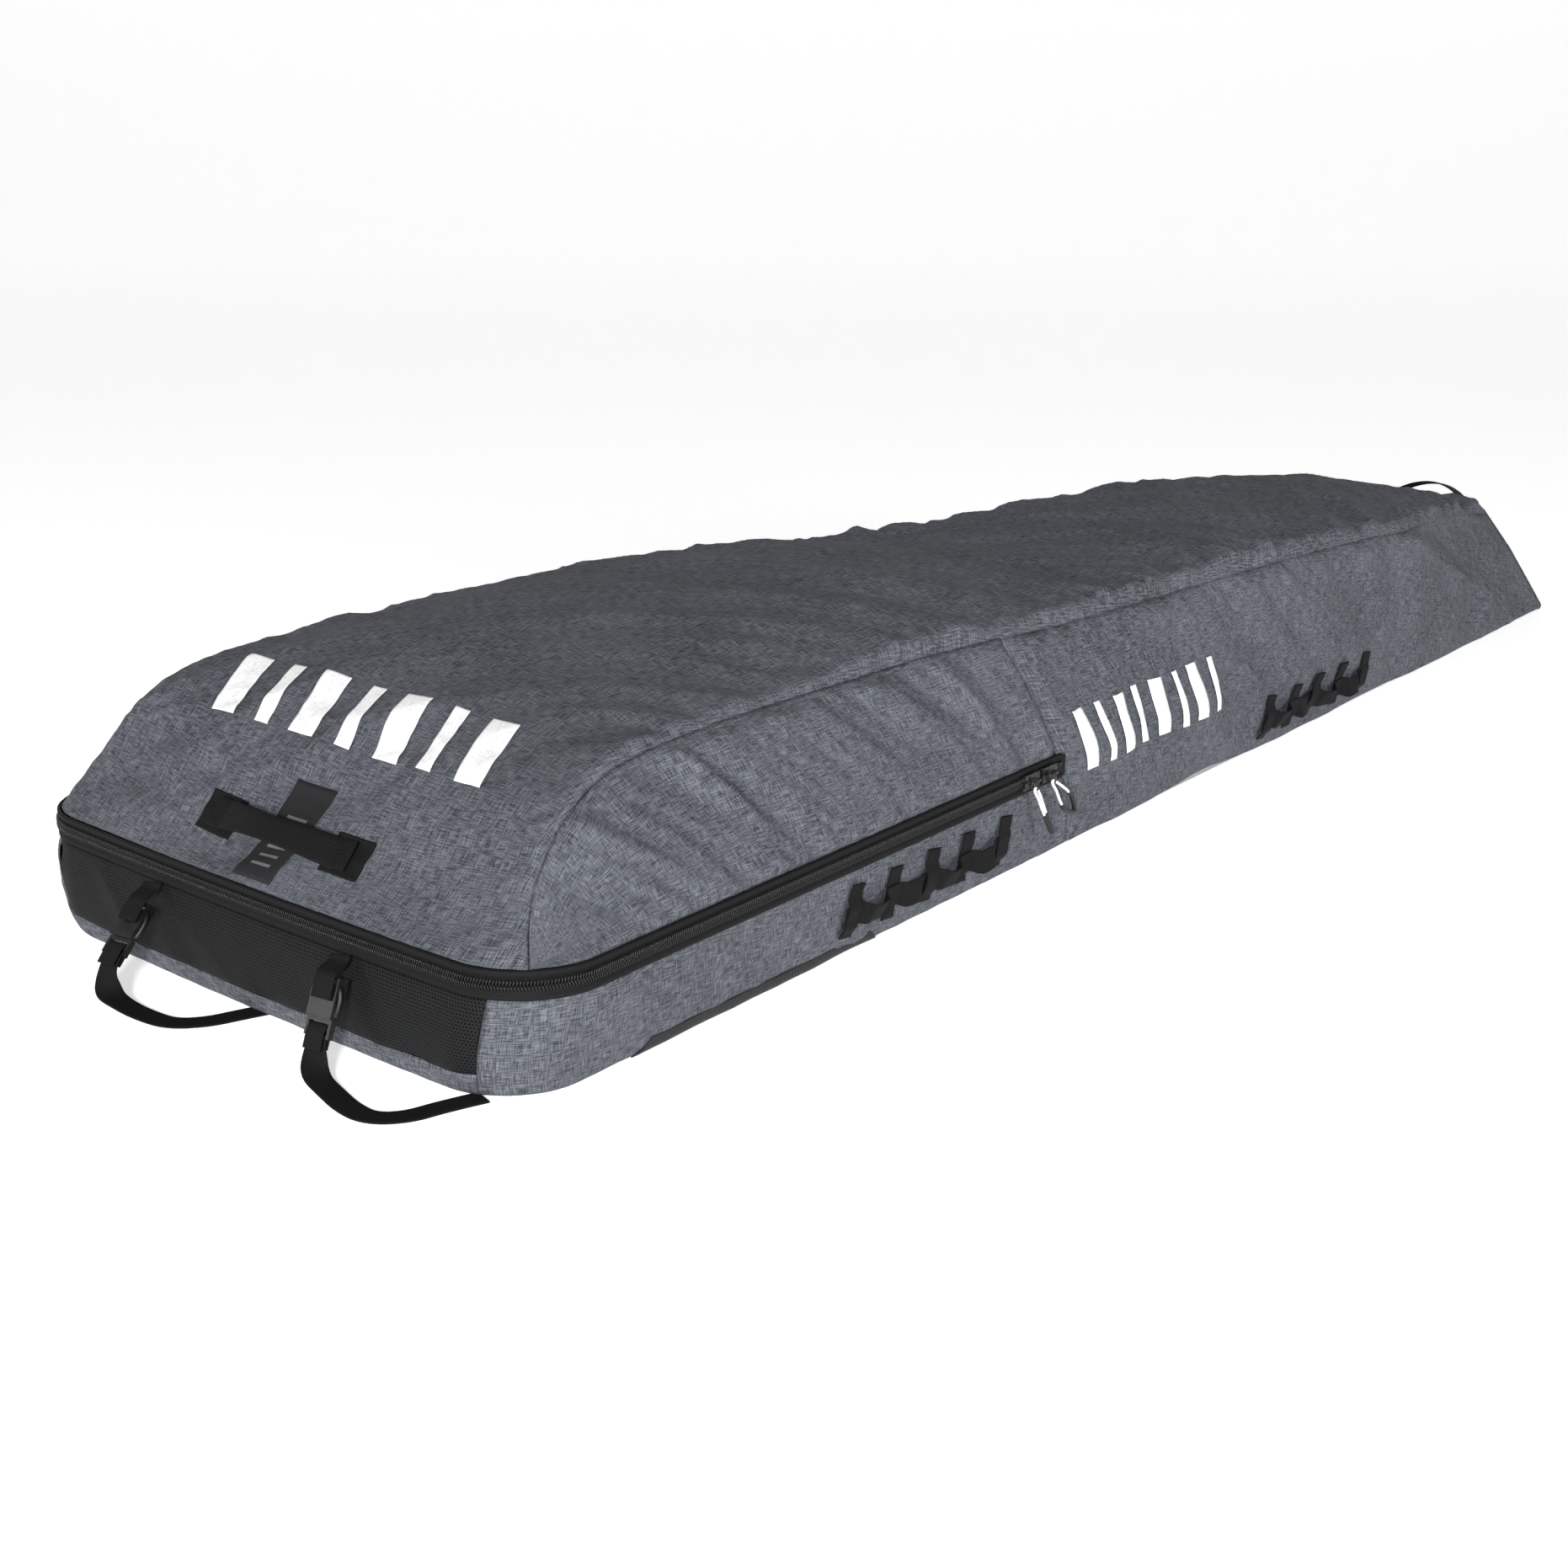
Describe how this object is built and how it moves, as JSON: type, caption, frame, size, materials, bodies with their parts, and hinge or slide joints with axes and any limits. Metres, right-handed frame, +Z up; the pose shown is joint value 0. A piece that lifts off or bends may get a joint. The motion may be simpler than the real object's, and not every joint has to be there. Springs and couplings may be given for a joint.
{
  "type": "snowboard bag",
  "caption": "Long padded board bag with a U-shaped zip, a lift-up lid, a grab handle, side carry handles and two buckled straps.",
  "frame": {"origin": "middle of the bag's length and width on the flat base that it rests on", "axes": "+X from the wide front to the narrow tail, +Y to the left side, +Z up"},
  "size_m": [1.9748, 0.6092, 0.252],
  "materials": {
    "outer_cloth": "melange grey woven polyester, matt",
    "mesh": "black open mesh over black cloth",
    "webbing": "black ribbed polyester webbing",
    "zip_coil": "black moulded coil",
    "zip_tape": "black woven tape",
    "padding": "closed cell foam",
    "lining": "light grey coated lining",
    "base_cloth": "dark coated cloth",
    "rub_cloth": "dark ribbed coated cloth",
    "buckle_plastic": "black moulded acetal",
    "slider_metal": "black painted zinc",
    "pull_cord": "white braided cord",
    "pull_rubber": "black soft moulding",
    "label_cloth": "black printed label cloth"
  },
  "bodies": {
    "root": {"base_panel": "base_cloth", "base_foam": "padding", "base_lining": "lining", "front_strip": "outer_cloth", "front_mesh_panel": "mesh", "front_foam": "padding", "lower_side_right": "outer_cloth", "lower_side_left": "outer_cloth", "rear_side_right": "outer_cloth", "rear_side_left": "outer_cloth", "side_foam_right": "padding", "side_foam_left": "padding", "rub_patch_right": "rub_cloth", "rub_patch_left": "rub_cloth", "strap_tab_right": "webbing", "strap_tab_left": "webbing", "buckle_socket_right": "buckle_plastic", "buckle_socket_left": "buckle_plastic", "rear_top_panel": "outer_cloth", "rear_top_foam": "padding", "tail_panel": "outer_cloth", "zip_tape_lower": "zip_tape", "zip_coil_lower": "zip_coil", "zip_tape_ends": "zip_tape", "zip_coil_ends": "zip_coil", "zip_end_stops": "zip_tape", "inner_strap_front": "webbing", "inner_strap_rear": "webbing", "handle_front_right_webbing": "webbing", "handle_front_right_loops": "webbing", "handle_front_left_webbing": "webbing", "handle_front_left_loops": "webbing", "handle_rear_right_webbing": "webbing", "handle_rear_right_loops": "webbing", "handle_rear_left_webbing": "webbing", "handle_rear_left_loops": "webbing"},
    "lid": {"lid_top_panel": "outer_cloth", "lid_foam": "padding", "lid_lining": "lining", "lid_side_right": "outer_cloth", "lid_side_left": "outer_cloth", "zip_tape_upper": "zip_tape", "zip_coil_upper": "zip_coil", "handle_patch_right": "webbing", "handle_patch_left": "webbing", "label_patch": "label_cloth"},
    "grab": {"grab_handle": "webbing"},
    "tail_loop": {"tail_handle": "webbing"},
    "slider_front": {"slider_front": "slider_metal"},
    "slider_rear": {"slider_rear": "slider_metal"},
    "pull_front": {"pull_link_front": "slider_metal", "pull_cord_front": "pull_cord", "pull_sleeve_front": "pull_rubber"},
    "pull_rear": {"pull_link_rear": "slider_metal", "pull_cord_rear": "pull_cord", "pull_sleeve_rear": "pull_rubber"},
    "plug_right": {"buckle_plug_right": "buckle_plastic", "strap_right": "webbing"},
    "plug_left": {"buckle_plug_left": "buckle_plastic", "strap_left": "webbing"}
  },
  "joints": [
    {"name": "lid_hinge", "type": "hinge", "parent": "root", "child": "lid", "pos_m": [-0.308, 0, 0.2445], "axis": [0, 1, 0], "range_deg": [0, 110]},
    {"name": "grab_swing", "type": "hinge", "parent": "lid", "child": "grab", "pos_m": [-0.9159, 0, 0.1298], "axis": [0, 1, 0], "range_deg": [-45, 45], "deforming": ["grab_handle"]},
    {"name": "tail_swing", "type": "hinge", "parent": "root", "child": "tail_loop", "pos_m": [0.77, 0, 0.1573], "axis": [0, 1, 0], "range_deg": [-60, 60], "deforming": ["tail_handle"]},
    {"name": "front_slider_travel", "type": "slide", "parent": "root", "child": "slider_front", "axis": [-0.9931, -0.1176, 0], "range_m": [0, 0.5]},
    {"name": "rear_slider_travel", "type": "slide", "parent": "root", "child": "slider_rear", "axis": [0.9931, 0.1176, 0], "range_m": [0, 0.011]},
    {"name": "front_pull_swing", "type": "hinge", "parent": "slider_front", "child": "pull_front", "pos_m": [-0.3059, -0.2442, 0.09], "axis": [-0.9931, -0.1176, 0], "range_deg": [0, 120]},
    {"name": "rear_pull_swing", "type": "hinge", "parent": "slider_rear", "child": "pull_rear", "pos_m": [-0.2769, -0.2408, 0.09], "axis": [-0.9931, -0.1176, 0], "range_deg": [0, 120]},
    {"name": "buckle_release_right", "type": "slide", "parent": "root", "child": "plug_right", "axis": [-0.4057, -0.0698, -0.9113], "range_m": [0, 0.024], "deforming": ["strap_right"]},
    {"name": "buckle_release_left", "type": "slide", "parent": "root", "child": "plug_left", "axis": [-0.692, -0.0872, -0.7166], "range_m": [0, 0.024], "deforming": ["strap_left"]}
  ]
}
